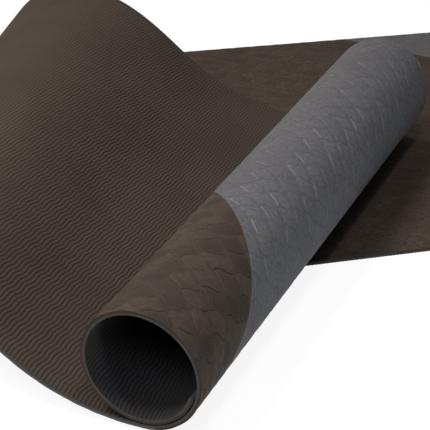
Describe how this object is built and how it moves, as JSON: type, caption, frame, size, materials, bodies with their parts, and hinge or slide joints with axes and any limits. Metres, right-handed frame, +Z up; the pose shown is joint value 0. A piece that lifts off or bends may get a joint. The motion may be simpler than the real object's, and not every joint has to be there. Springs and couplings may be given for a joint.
{
  "type": "yoga mat",
  "caption": "Rectangular exercise mat with a wavy-ribbed base and diagonal colour panels on top, half rolled up and folded back over its flat end.",
  "frame": {"origin": "on the floor, under the middle of the line where the roll touches down, on the underside of the flat part", "axes": "+X points from the fold to the roll, square to the roll; +Y runs along the roll; +Z is up"},
  "size_m": [0.9877, 1.1106, 0.1317],
  "materials": {
    "base_brown": "matte",
    "top_brown": "satin",
    "top_gray": "satin"
  },
  "bodies": {
    "flat_part": {"base_sheet_flat": "base_brown", "top_gray_flat": "top_gray", "top_brown_flat": "top_brown", "top_gray_corner": "top_gray", "base_sheet_fold": "base_brown", "top_gray_fold": "top_gray", "top_brown_fold": "top_brown"},
    "rolled_flap": {"base_sheet_flap": "base_brown", "top_gray_flap": "top_gray", "top_brown_flap": "top_brown", "base_sheet_roll": "base_brown", "top_gray_roll": "top_gray", "top_brown_roll": "top_brown"}
  },
  "joints": [
    {"name": "fold_open", "type": "hinge", "parent": "flat_part", "child": "rolled_flap", "pos_m": [-0.40466, 0.00321, 0.0389], "axis": [0.3182, -0.948, 0], "range_deg": [0, 90], "deforming": ["base_sheet_fold", "top_gray_fold", "top_brown_fold"]}
  ]
}
